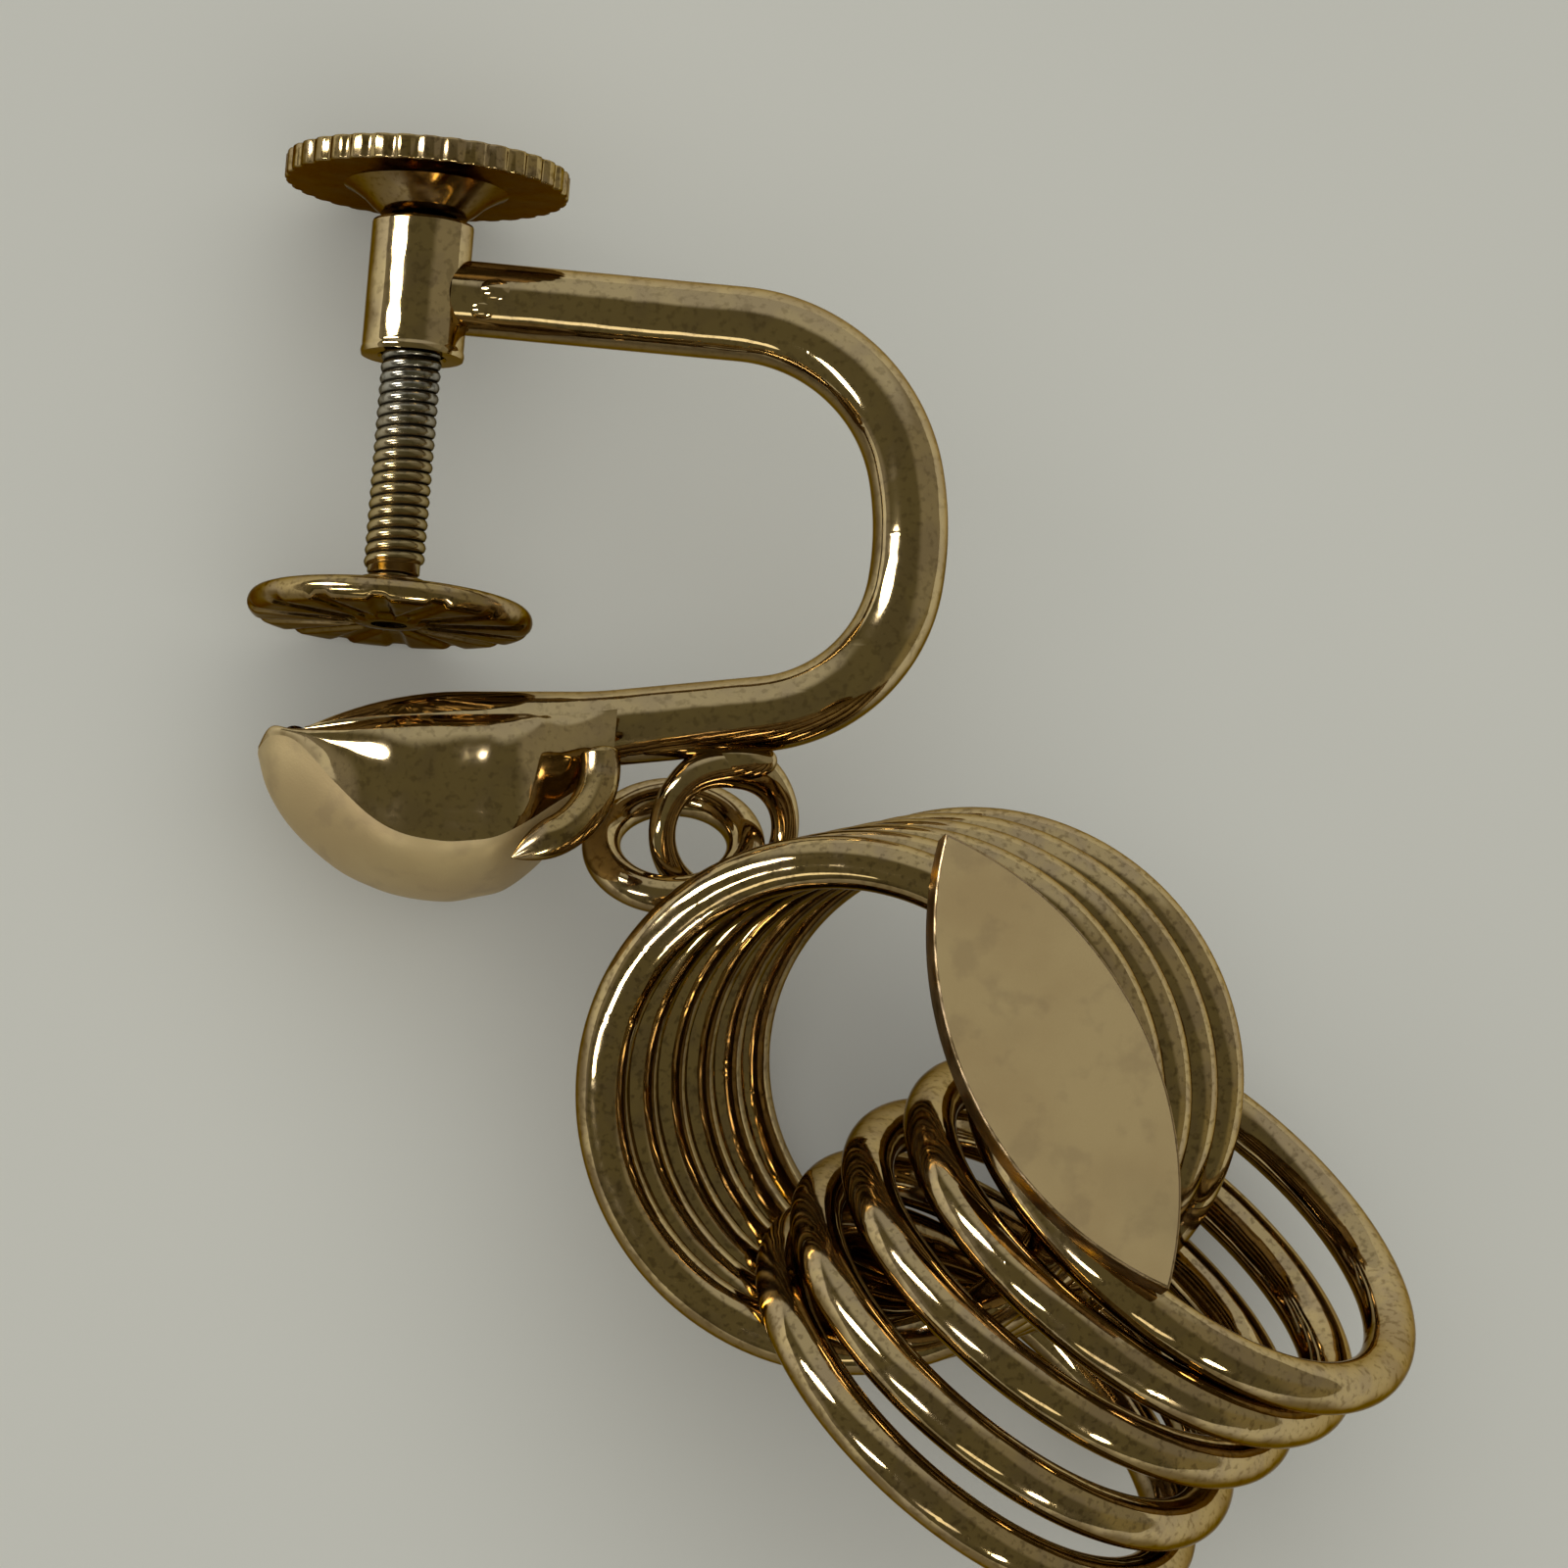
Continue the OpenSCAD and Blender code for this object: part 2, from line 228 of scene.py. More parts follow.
def number(name, description, value, low, high):
    return bpy.props.IntProperty(
        name=name, description=description, default=value, min=low, max=high
    )


class ClampSizes(bpy.types.PropertyGroup):
    wire: length("Ear wire", "Diameter of the bent ear wire", 1.36)
    arm: length("Arm", "Straight length of the upper arm from the screw's axis", 5.9)
    barrel: length("Barrel", "Outer diameter of the threaded barrel", 1.85)
    barrel_length: length("Barrel length", "Length of the threaded barrel", 2.48)
    hanging_wire: length("Hanging ring wire", "Wire diameter of the ring under the lower arm", 0.48)
    screw: length("Screw", "Crest diameter of the screw thread", 1.1)
    pitch: length("Pitch", "Rise of the thread in one turn", 0.21)
    thread_depth: length("Thread depth", "Depth of the thread's groove", 0.07)
    thumb: length("Thumb disc", "Diameter of the thumb disc", 5.15)
    thumb_rim: length("Thumb rim", "Thickness of the thumb disc at its rim", 0.45)
    pad: length("Ear pad", "Diameter of the ear pad", 5.15)
    pad_rim: length("Pad rim", "Thickness of the ear pad", 0.46)
    leaf_width: length("Leaf width", "Width of the hollow leaf on its face", 4.04)
    leaf_wall: length("Leaf wall", "Wall of the hollow leaf", 0.32)
    stem: length("Stem", "Wire diameter of the stem that curls over the leaf", 0.72)
    notches: number("Notches", "Notches round the thumb disc", 36, 12, 60)
    grooves: number("Grooves", "Grip grooves in the face of the ear pad", 14, 6, 24)


class PendantSizes(bpy.types.PropertyGroup):
    wire: length("Coil wire", "Wire diameter of the coils' rings", 0.94)
    radius: length("Coil radius", "Mean radius of the coils' rings", 4.36)
    plate_length: length("Plate length", "Length of the pointed plate", 8.8)
    plate_width: length("Plate width", "Width of the pointed plate", 3.32)
    plate_thickness: length("Plate thickness", "Thickness of the pointed plate", 0.75)
    link_wire: length("Link wire", "Wire diameter of the ring that joins pendant and clamp", 0.7)
    link_radius: length("Link radius", "Mean radius of that ring", 1.3)


class MetalColours(bpy.types.PropertyGroup):
    polished: colour("Polished gold", "Clean polished gold", (0.76, 0.59, 0.32))
    ring: colour("Ring gold", "Polished gold of the coils", (0.71, 0.54, 0.28))
    satin: colour("Satin gold", "Matt gold of the plate and the leaf's front", (0.54, 0.41, 0.2))
    steel: colour("Screw steel", "Bare steel of the screw", (0.44, 0.42, 0.37))
    film: colour("Tarnish film", "Brownish film on worn gold", (0.5, 0.38, 0.26))
    # Used for random dark specks and for the painted shade on surfaces turned away from the camera.
    residue: colour("Residue", "Dark residue in hollows", (0.14, 0.085, 0.03))


class StudioSettings(bpy.types.PropertyGroup):
    floor: colour("Floor", "Pale floor under the earring", (0.66, 0.665, 0.62))
    key: level("Left lamp", "Brightness of the lamp at the picture's left", 18.0)
    low: level("Near lamp", "Brightness of the lamp at the picture's foot", 20.0)
    soft: level("Softbox", "Brightness of the wide panel over the floor", 0.62)
    room: level("Room", "Brightness of the room that the metal mirrors", 1.0)


# Metals


def new_group(name, inputs, outputs):
    group = bpy.data.node_groups.new(name, "ShaderNodeTree")
    for label, kind, value in inputs:
        kind = f"NodeSocket{kind}"
        socket = group.interface.new_socket(label, in_out="INPUT", socket_type=kind)
        if value is not None:
            socket.default_value = value
    for label, kind in outputs:
        kind = f"NodeSocket{kind}"
        group.interface.new_socket(label, in_out="OUTPUT", socket_type=kind)
    given = group.nodes.new("NodeGroupInput").outputs
    return group, given, group.nodes.new("NodeGroupOutput")


def feed(tree, made, links):
    """Joins sockets to a node's inputs, or sets them where a plain value is given."""
    for key, source in links:
        if isinstance(source, bpy.types.NodeSocket):
            tree.links.new(source, made.inputs[key])
        else:
            made.inputs[key].default_value = source


def node(tree, kind, links=(), **values):
    """A shader node with its settings and the sockets that feed it."""
    made = tree.nodes.new(kind)
    for key, value in values.items():
        setattr(made, key, value)
    feed(tree, made, links)
    return made


def ramp_value(tree, source, low, high, out_low=0.0, out_high=1.0):
    """source moved from the range low-high to the range out_low-out_high."""
    return node(
        tree,
        "ShaderNodeMapRange",
        (
            ("Value", source),
            ("From Min", low),
            ("From Max", high),
            ("To Min", out_low),
            ("To Max", out_high),
        ),
        interpolation_type="SMOOTHSTEP",
    ).outputs["Result"]


def reckon(tree, operation, a, b):
    return node(tree, "ShaderNodeMath", ((0, a), (1, b)), operation=operation).outputs[0]


def times(tree, a, b):
    return reckon(tree, "MULTIPLY", a, b)


def facing_share(tree, a, b):
    """The dot product of two directions."""
    made = node(tree, "ShaderNodeVectorMath", ((0, a), (1, b)), operation="DOT_PRODUCT")
    return made.outputs["Value"]


def noise(tree, vector, scale, detail):
    links = (("Vector", vector), ("Scale", scale), ("Detail", detail))
    return node(tree, "ShaderNodeTexNoise", links).outputs["Fac"]


def bump(tree, height, strength, distance, *links):
    links = (("Height", height), ("Strength", strength), ("Distance", distance), *links)
    return node(tree, "ShaderNodeBump", links).outputs["Normal"]


# The colour sockets of a Mix node share their names with its other sockets, so they go by number.
MIX_FACTOR, MIX_A, MIX_B, MIX_RESULT = 0, 6, 7, 2


def mix_colours(tree, share, a, b):
    links = ((MIX_FACTOR, share), (MIX_A, a), (MIX_B, b))
    return node(tree, "ShaderNodeMix", links, data_type="RGBA").outputs[MIX_RESULT]


def tarnish_group():
    group, given, sink = new_group(
        "Tarnish film",
        (
            ("Vector", "Vector", None),
            ("Metal", "Color", (0.8, 0.6, 0.3, 1)),
            ("Film", "Color", (0.6, 0.45, 0.35, 1)),
            ("Residue", "Color", (0.16, 0.1, 0.05, 1)),
            ("Patch Scale", "Float", 600.0),
            ("Film Amount", "Float", 0.5),
            ("Residue Amount", "Float", 0.3),
        ),
        (("Color", "Color"), ("Film", "Float"), ("Residue", "Float")),
    )
    place, scale = given["Vector"], given["Patch Scale"]
    patches = ramp_value(group, noise(group, place, scale, 4.0), 0.42, 0.62)
    film = times(group, patches, given["Film Amount"])
    specks = ramp_value(group, noise(group, place, times(group, scale, 5.0), 3.0), 0.5, 0.68)
    residue = times(group, specks, given["Residue Amount"])
    filmed = mix_colours(group, film, given["Metal"], given["Film"])
    spotted = mix_colours(group, residue, filmed, given["Residue"])
    feed(group, sink, (("Color", spotted), ("Film", film), ("Residue", residue)))
    return group


def scratch_group():
    group, given, sink = new_group(
        "Handling scratches",
        (("Vector", "Vector", None), ("Scale", "Float", 3000.0)),
        (("Height", "Float"),),
    )
    heights = []
    for stretch, tilt in (((1, 0.06, 0.3), 0.4), ((0.05, 1, 0.4), -0.7), ((0.5, 0.4, 0.04), 1.1)):
        turned = node(
            group,
            "ShaderNodeMapping",
            (
                ("Vector", given["Vector"]),
                ("Rotation", (tilt, 0.5 * tilt, tilt)),
                ("Scale", stretch),
            ),
        )
        lines = noise(group, turned.outputs[0], given["Scale"], 2.0)
        heights.append(ramp_value(group, lines, 0.62, 0.72))
    both = reckon(group, "MAXIMUM", heights[0], heights[1])
    every = reckon(group, "MAXIMUM", both, heights[2])
    feed(group, sink, (("Height", times(group, every, -1.0)),))
    return group


def grain_group():
    group, given, sink = new_group(
        "Satin grain",
        (
            ("Vector", "Vector", None),
            ("Grain Scale", "Float", 22000.0),
            ("Smudge Scale", "Float", 420.0),
        ),
        (("Height", "Float"), ("Smudge", "Float")),
    )
    place = given["Vector"]
    grain = noise(group, place, given["Grain Scale"], 3.0)
    smudge = noise(group, place, given["Smudge Scale"], 3.0)
    feed(group, sink, (("Height", grain), ("Smudge", ramp_value(group, smudge, 0.55, 0.75))))
    return group


def painted_shade_group():
    """Painted shade where a surface faces away from a direction, broken up by patches."""
    group, given, sink = new_group(
        "Painted shade on turned-away sides",
        (
            ("Vector", "Vector", None),
            ("Normal", "Vector", None),
            ("Unshaded Side", "Vector", (0.0, 0.0, 1.0)),
            ("Patch Scale", "Float", 900.0),
        ),
        (("Mask", "Float"),),
    )
    facing = facing_share(group, given["Normal"], given["Unshaded Side"])
    patches = noise(group, given["Vector"], given["Patch Scale"], 3.0)
    uneven = reckon(group, "ADD", facing, ramp_value(group, patches, 0.3, 0.7, -0.12, 0.12))
    feed(group, sink, (("Mask", ramp_value(group, uneven, 0.55, 0.22)),))
    return group


def dent_group():
    group, given, sink = new_group(
        "Soft dents",
        (("Vector", "Vector", None), ("Scale", "Float", 900.0)),
        (("Height", "Float"),),
    )
    waves = noise(group, given["Vector"], given["Scale"], 1.0)
    feed(group, sink, (("Height", waves),))
    return group


def wear_group():
    group, given, sink = new_group(
        "Worn edges",
        (("Low", "Float", 0.52), ("High", "Float", 0.62)),
        (("Mask", "Float"),),
    )
    form = node(group, "ShaderNodeNewGeometry").outputs["Pointiness"]
    mask = ramp_value(group, form, given["Low"], given["High"])
    feed(group, sink, (("Mask", mask),))
    return group


def group_node(tree, name, maker, links=()):
    group = bpy.data.node_groups.get(name) or maker()
    return node(tree, "ShaderNodeGroup", links, node_tree=group)


def tarnish(tree, place, metal, film, residue, patch_scale, film_amount, residue_amount):
    links = (
        ("Vector", place),
        ("Metal", opaque(metal)),
        ("Film", opaque(film)),
        ("Residue", opaque(residue)),
        ("Patch Scale", patch_scale),
        ("Film Amount", film_amount),
        ("Residue Amount", residue_amount),
    )
    return group_node(tree, "Tarnish film", tarnish_group, links)


def scratches(tree, place, scale):
    links = (("Vector", place), ("Scale", scale))
    return group_node(tree, "Handling scratches", scratch_group, links).outputs["Height"]


def new_material(name):
    material = bpy.data.materials.new(name)
    material.use_nodes = True
    tree = material.node_tree
    place = tree.nodes.new("ShaderNodeTexCoord").outputs["Object"]
    return material, tree, tree.nodes["Principled BSDF"], place


def opaque(rgb):
    return (*rgb, 1.0)


def polished_metal(
    name, metal, film_share, residue_share, patches, smooth, dull, rim=(0.5, 0.38, 0.22)
):
    """Polished gold with a patchy film, dark specks, painted shade on the sides turned away from
    the camera, scratches and worn edges.
    """
    found = bpy.data.materials.get(name)
    if found:
        return found
    colours = bpy.context.scene.earring_metals
    material, tree, shader, place = new_material(name)
    film = tarnish(
        tree, place, metal, colours.film, colours.residue, patches, film_share, residue_share
    )
    worn = group_node(tree, "Worn edges", wear_group).outputs["Mask"]
    bright = mix_colours(tree, times(tree, worn, 0.5), film.outputs["Color"], opaque(metal))
    right, up, toward = picture_axes()
    painted_shade_mask = group_node(
        tree,
        "Painted shade on turned-away sides",
        painted_shade_group,
        (
            ("Vector", place),
            ("Normal", tree.nodes["Texture Coordinate"].outputs["Normal"]),
            ("Unshaded Side", tuple((toward + right * UNSHADED_RIGHT + up * UNSHADED_UP).normalized())),
        ),
    ).outputs["Mask"]
    # Painted shade: surfaces turned away from the camera darken toward the residue colour.
    shaded = mix_colours(tree, times(tree, painted_shade_mask, 0.78), bright, opaque(colours.residue))
    scratched = bump(tree, scratches(tree, place, 2600.0), 0.35, SCRATCH_DEPTH)
    dents = group_node(tree, "Soft dents", dent_group, (("Vector", place), ("Scale", 1100.0)))
    dented = bump(tree, dents.outputs["Height"], 1.0, DENT_DEPTH, ("Normal", scratched))
    feed(
        tree,
        shader,
        (
            ("Base Color", shaded),
            ("Metallic", 1.0),
            ("Specular Tint", opaque(rim)),
            ("Roughness", ramp_value(tree, film.outputs["Film"], 0.0, 0.6, smooth, dull)),
            ("Normal", dented),
        ),
    )
    return material


def polished_gold():
    metal = bpy.context.scene.earring_metals.polished
    return polished_metal("bright_gold", metal, 0.38, 0.3, 1400.0, 0.06, 0.12)


def ring_gold():
    metal = bpy.context.scene.earring_metals.ring
    return polished_metal("coil_gold", metal, 0.5, 0.45, 1600.0, 0.06, 0.12)


def edge_gold():
    """The plate's cut edge, polished once and now dull and brown."""
    return polished_metal("edge_gold", (0.5, 0.36, 0.2), 0.6, 0.5, 1400.0, 0.32, 0.45)


def disc_gold():
    """The two small discs and the stem, browner than the wire."""
    metal, rim = (0.6, 0.44, 0.2), (0.34, 0.25, 0.12)
    return polished_metal("disc_gold", metal, 0.6, 0.55, 1800.0, 0.12, 0.2, rim)


def satin_gold():
    """Matt gold: a fine even grain, faint smudges and a thin film."""
    found = bpy.data.materials.get("matt_gold")
    if found:
        return found
    metal = bpy.context.scene.earring_metals.satin
    material, tree, shader, place = new_material("matt_gold")
    grain = group_node(tree, "Satin grain", grain_group, (("Vector", place),))
    smudge = grain.outputs["Smudge"]
    film = tarnish(tree, place, metal, (0.45, 0.32, 0.15), (0.3, 0.21, 0.11), 300.0, 0.6, 0.3)
    smudged = mix_colours(
        tree, times(tree, smudge, 0.35), film.outputs["Color"], (0.45, 0.34, 0.17, 1)
    )
    feed(
        tree,
        shader,
        (
            ("Base Color", smudged),
            ("Metallic", 0.35),
            ("Roughness", ramp_value(tree, smudge, 0.0, 1.0, 0.56, 0.48)),
            ("Normal", bump(tree, grain.outputs["Height"], 0.3, GRAIN_DEPTH)),
        ),
    )
    return material


def screw_steel():
    """Steel near the thumb disc, brassy toward the pad, with dark grease in the grooves."""
    found = bpy.data.materials.get("thread_steel")
    if found:
        return found
    metal = bpy.context.scene.earring_metals.steel
    material, tree, shader, place = new_material("thread_steel")
    film = tarnish(tree, place, metal, (0.42, 0.38, 0.3), (0.05, 0.045, 0.035), 1500.0, 0.6, 0.6)
    along = node(tree, "ShaderNodeSeparateXYZ", ((0, place),)).outputs["Y"]
    brassy = ramp_value(tree, along, STEEL_FROM, BRASS_FROM)
    blended = mix_colours(tree, brassy, film.outputs["Color"], (0.48, 0.37, 0.19, 1))
    worn = group_node(tree, "Worn edges", wear_group, (("Low", 0.46), ("High", 0.54)))
    crests = worn.outputs["Mask"]
    feed(
        tree,
        shader,
        (
            ("Base Color", mix_colours(tree, crests, (0.06, 0.05, 0.035, 1), blended)),
            ("Metallic", 1.0),
            ("Specular Tint", (0.22, 0.2, 0.16, 1)),
            ("Roughness", ramp_value(tree, crests, 0.0, 1.0, 0.5, 0.2)),
            ("Normal", bump(tree, scratches(tree, place, 5000.0), 0.4, SCRATCH_DEPTH)),
        ),
    )
    return material


# Shaping


def edges_of(parts):
    return [part for part in parts if isinstance(part, bmesh.types.BMEdge)]


def verts_of(parts):
    return [part for part in parts if isinstance(part, bmesh.types.BMVert)]


def hoop(shape, radius, place, sides=40):
    """The edges of a circle of wire section."""
    made = bmesh.ops.create_circle(
        shape, cap_ends=False, segments=sides, radius=radius, matrix=place
    )
    return list({edge for vert in made["verts"] for edge in vert.link_edges})


def pull(shape, rim, step, count=1):
    """Extrudes a rim count times, moving each new one by the matrix step; returns the last."""
    for _ in range(count):
        made = bmesh.ops.extrude_edge_only(shape, edges=rim)["geom"]
        rim = [edge for edge in edges_of(made) if edge.is_boundary]
        bmesh.ops.transform(shape, matrix=step, verts=verts_of(made))
    return rim


def spin(shape, geom, centre, angle, steps, merge=False, rise=0.0):
    """Turns geometry round an upright axis, rising a little at each step, and returns its end."""
    return bmesh.ops.spin(
        shape,
        geom=geom,
        cent=centre,
        axis=(0, 0, 1),
        dvec=(0, 0, rise),
        angle=angle,
        steps=steps,
        use_merge=merge,
    )["geom_last"]


def swing(shape, rim, centre, degrees, steps):
    """Sweeps a rim round an upright axis and returns the last rim."""
    verts = list({vert for edge in rim for vert in edge.verts})
    return edges_of(spin(shape, verts + rim, centre, math.radians(degrees), steps))


def taper(shape, rim, centre, heading, reach, steps=14):
    """A blunt end that narrows along a parabola, closed at its tip."""
    centre, heading = Vector(centre), Vector(heading).normalized()
    done = 0.0
    last = 1.0
    for k in range(1, steps + 1):
        t = 1 - (1 - k / steps) ** TAPER_POWER
        size = max(1 - t * t, TIP_SIZE)
        old = centre + heading * (reach * done)
        new = centre + heading * (reach * min(t, TIP_REACH))
        step = at(*new) @ Matrix.Scale(size / last, 4) @ at(*(-old))
        rim = pull(shape, rim, step)
        done, last = min(t, TIP_REACH), size
    bmesh.ops.edgeloop_fill(shape, edges=rim)


def line_of(verts, shape):
    return [shape.edges.new(pair) for pair in zip(verts, verts[1:])]


def spun(shape, profile, steps=96, closed=True):
    """Turns a profile of [radius, height] points fully round the z axis."""
    verts = [shape.verts.new((r, 0, z)) for r, z in profile]
    edges = line_of(verts, shape)
    if closed:
        edges.append(shape.edges.new((verts[-1], verts[0])))
    spin(shape, verts + edges, (0, 0, 0), math.tau, steps, merge=True)


def ring_shape(shape, radius, wire, place, around=168, sides=36):
    """A closed wire ring, the only thing in its shape."""
    edges = hoop(shape, wire / 2, at(radius, 0) @ turn(90, "X"), sides)
    spin(shape, shape.verts[:] + edges, (0, 0, 0), math.tau, around, merge=True)
    bmesh.ops.transform(shape, matrix=place, verts=shape.verts)


def bead(shape, radius, place, subdivisions):
    bmesh.ops.create_icosphere(shape, subdivisions=subdivisions, radius=radius, matrix=place)


def soften(shape, edges, offset, segments):
    """Rounds edges off."""
    bmesh.ops.bevel(
        shape,
        geom=edges,
        offset=offset,
        affect="EDGES",
        segments=segments,
        profile=0.5,
        material=-1,
        offset_type="OFFSET",
        clamp_overlap=True,
    )


def slab(shape, face, thick, offset):
    """Makes a flat face a slab that goes down from it, with both its rims bevelled."""
    lower = bmesh.ops.extrude_face_region(shape, geom=[face])["geom"]
    bmesh.ops.translate(shape, vec=(0, 0, -thick), verts=verts_of(lower))
    bmesh.ops.recalc_face_normals(shape, faces=shape.faces)
    flats = [f for f in shape.faces if len(f.verts) > MOST_CORNERS]
    soften(shape, list({edge for f in flats for edge in f.edges}), offset, 3)


def tidy(shape):
    bmesh.ops.remove_doubles(shape, verts=shape.verts, dist=SAME_POINT)
    bmesh.ops.recalc_face_normals(shape, faces=shape.faces)


def join(shape, part):
    """Adds a part to a shape and frees it."""
    carrier = bpy.data.meshes.new("joined part")
    part.to_mesh(carrier)
    part.free()
    shape.from_mesh(carrier)
    bpy.data.meshes.remove(carrier)


def finish_piece(name, shape, place, finishes, body, crease=32):
    """Makes a shape in millimetres the piece of a CAD node, in place on its body, in its metal."""
    bmesh.ops.transform(shape, matrix=TO_METRES @ place, verts=shape.verts)
    mesh = bpy.data.meshes.new(name)
    shape.to_mesh(mesh)
    shape.free()
    for finish in finishes:
        mesh.materials.append(finish)
    mesh.shade_smooth()
    mesh.set_sharp_from_angle(angle=math.radians(crease))
    for face in mesh.polygons:
        face.use_smooth = face.loop_total <= MOST_CORNERS
    piece = bpy.data.objects.new(name, mesh)
    bpy.context.scene.collection.objects.link(piece)
    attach(piece, body)
    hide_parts(name)


def set_ring(centre, tilt, turned):
    return at(*centre) @ turn(turned, "Z") @ turn(tilt, "Y")


def in_mm(value):
    return value / MM


# Pieces


class EARRING_OT_ear_wire(bpy.types.Operator):
    """Bends the ear wire, with its threaded barrel and the small ring under its lower arm"""

    bl_idname = "earring.ear_wire"
    bl_label = "Ear wire"

    def execute(self, context):
        sizes = context.scene.earring_clamp
        shape = bmesh.new()
        x, y = ARM_START
        heading = ARM_HEADING

        def facing():
            return at(x, y) @ turn(heading, "Z") @ turn(90, "Y")

        def along(distance):
            a = math.radians(heading)
            return Vector((distance * math.cos(a), distance * math.sin(a), 0))

        rim = hoop(shape, in_mm(sizes.wire) / 2, facing())
        bmesh.ops.edgeloop_fill(shape, edges=rim)
        first = in_mm(sizes.arm) - ARM_START[0]
        for size, bend in ((first, 0), *BENDS, (TONGUE_STRAIGHT, 0)):
            if bend == 0:
                steps = max(2, round(size / STRAIGHT_STEP))
                rim = pull(shape, rim, Matrix.Translation(along(size / steps)), steps)
                x, y = (Vector((x, y, 0)) + along(size))[:2]
                continue
            a, b = math.radians(heading), math.radians(heading + bend)
            centre = (x + size * math.sin(a), y - size * math.cos(a), 0)
            rim = swing(shape, rim, centre, bend, max(4, round(abs(bend) / BEND_STEP)))
            x += size * (math.sin(a) - math.sin(b))
            y += size * (math.cos(b) - math.cos(a))
            heading += bend
        taper(shape, rim, (x, y, 0), along(1.0), TONGUE_TAPER)
        bottom = BARREL_TOP - in_mm(sizes.barrel_length)
        outer = in_mm(sizes.barrel) / 2
        barrel = bmesh.new()
        spun(
            barrel,
            (
                (BORE_R, BARREL_TOP - 0.05),
                (BORE_R + 0.05, BARREL_TOP),
                (outer - 0.05, BARREL_TOP),
                (outer - 0.012, BARREL_TOP - 0.018),
                (outer, BARREL_TOP - 0.05),
                (outer, BARREL_TOP - 0.09),
                (outer, bottom + 0.18),
                (outer, bottom + 0.14),
                (outer + 0.012, bottom + 0.12),
                (outer + 0.018, bottom + 0.06),
                (outer, bottom),
                (BORE_R + 0.05, bottom),
                (BORE_R, bottom + 0.05),
            ),
        )
        bmesh.ops.transform(barrel, matrix=turn(-90, "X"), verts=barrel.verts)
        tidy(barrel)
        tidy(shape)
        loop = bmesh.new()
        ring_shape(loop, HANGING_RADIUS, in_mm(sizes.hanging_wire), Matrix(), 120, 32)
        hanging = set_ring(*HANGING_PLACE)
        top = (hanging.inverted() @ Vector(HANGING_TOP)).xy.normalized()
        for vert in loop.verts:
            spoke = Vector((vert.co.x, vert.co.y, 0)).normalized()
            away = math.degrees(math.acos(max(-1.0, min(1.0, spoke.xy.dot(top)))))
            swell = 1 + HANGING_SWELL * math.exp(-((away / SWELL_DEGREES) ** 2))
            vert.co = spoke * HANGING_RADIUS + (vert.co - spoke * HANGING_RADIUS) * swell
        bmesh.ops.transform(loop, matrix=hanging, verts=loop.verts)
        middle, size, turned, stretch = RING_BEAD
        bead(loop, size, at(*middle) @ turn(turned, "Z") @ Matrix.Diagonal(stretch), 4)
        for *middle, size in SOLDER_BEADS:
            bead(loop, size, at(*middle) @ Matrix.Scale(BEAD_STRETCH, 4, (1, 0, 0)), 3)
        join(shape, barrel)
        join(shape, loop)
        bmesh.ops.recalc_face_normals(shape, faces=shape.faces)
        finish_piece("ear_wire", shape, CLAMP, (polished_gold(),), "ear_clamp")
        return {"FINISHED"}


def smooth_value(a, b, c, d, t):
    return b + t * (c - a + t * (2 * a - 5 * b + 4 * c - d + t * (3 * (b - c) + d - a))) / 2


def leaf_row(place):
    """The leaf's six section values at a position between its rows."""
    last = len(LEAF_ROWS) - 1
    i = min(int(place), last - 1)
    near = [LEAF_ROWS[max(0, min(last, i + k))] for k in (-1, 0, 1, 2)]
    return [smooth_value(*(row[k] for row in near), place - i) for k in range(6)]


def side_curve(points, steps):
    """Points of a smooth line through the given ones."""
    line = []
    for i in range(len(points) - 1):
        near = [points[max(0, min(len(points) - 1, i + k))] for k in (-1, 0, 1, 2)]
        for s in range(steps):
            line.append([smooth_value(*(p[k] for p in near), s / steps) for k in (0, 1)])
    return line + [points[-1]]


def leaf_section(row, scale):
    """[depth, height] points from the lower back edge round the front to the upper one."""
    _, back, fold, front, half, ratio = row
    h = half * scale
    rim = h * ratio
    side = side_curve(
        [
            (back, rim),
            (back + (fold - back) * 0.15, rim + (h - rim) * 0.75),
            (back + (fold - back) * 0.5, h * 0.995),
            (fold, h * FOLD_RATIO),
        ],
        SIDE_STEPS,
    )
    arc = [
        (fold + (front - fold) * math.cos(a), h * FOLD_RATIO * math.sin(a))
        for a in (math.pi / 2 * (k / FRONT_STEPS - 1) for k in range(1, 2 * FRONT_STEPS))
    ]
    return [(y, -z) for y, z in side] + arc + [(y, z) for y, z in reversed(side)]


